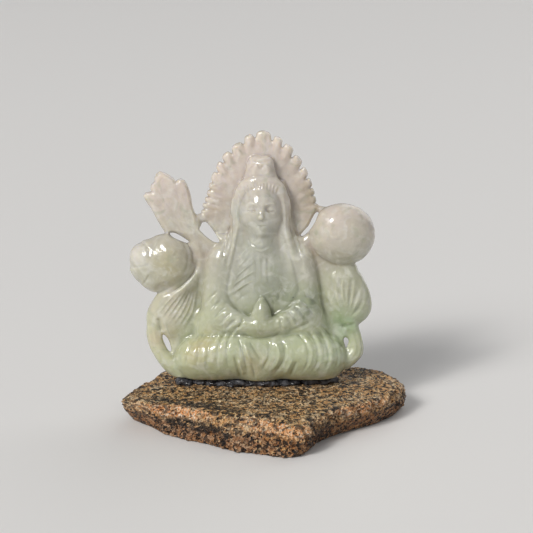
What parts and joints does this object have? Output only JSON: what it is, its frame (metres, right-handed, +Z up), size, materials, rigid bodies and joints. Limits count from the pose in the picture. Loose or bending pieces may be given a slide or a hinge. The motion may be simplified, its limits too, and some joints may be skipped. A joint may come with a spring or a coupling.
{
  "type": "jade figurine",
  "caption": "Openwork jade carving of a seated robed figure with a rayed halo, lotus and round fruit, set in dark putty on a rough granite slab",
  "frame": {"origin": "on the underside of the granite slab, at the centre of the object's box seen from above", "axes": "+Z up, the figure faces -Y, +X on the right as one looks at its face"},
  "size_m": [0.0816, 0.054, 0.0825],
  "materials": {
    "jade": "polished translucent pale green and white jade",
    "putty": "dark slate putty, slightly shiny, thumb pressed",
    "granite": "rough split granite, speckled black, cream and orange"
  },
  "bodies": {
    "root": {"jade_carving": "jade", "putty_left": "putty", "putty_centre": "putty", "putty_right": "putty", "granite_slab": "granite"}
  },
  "joints": []
}
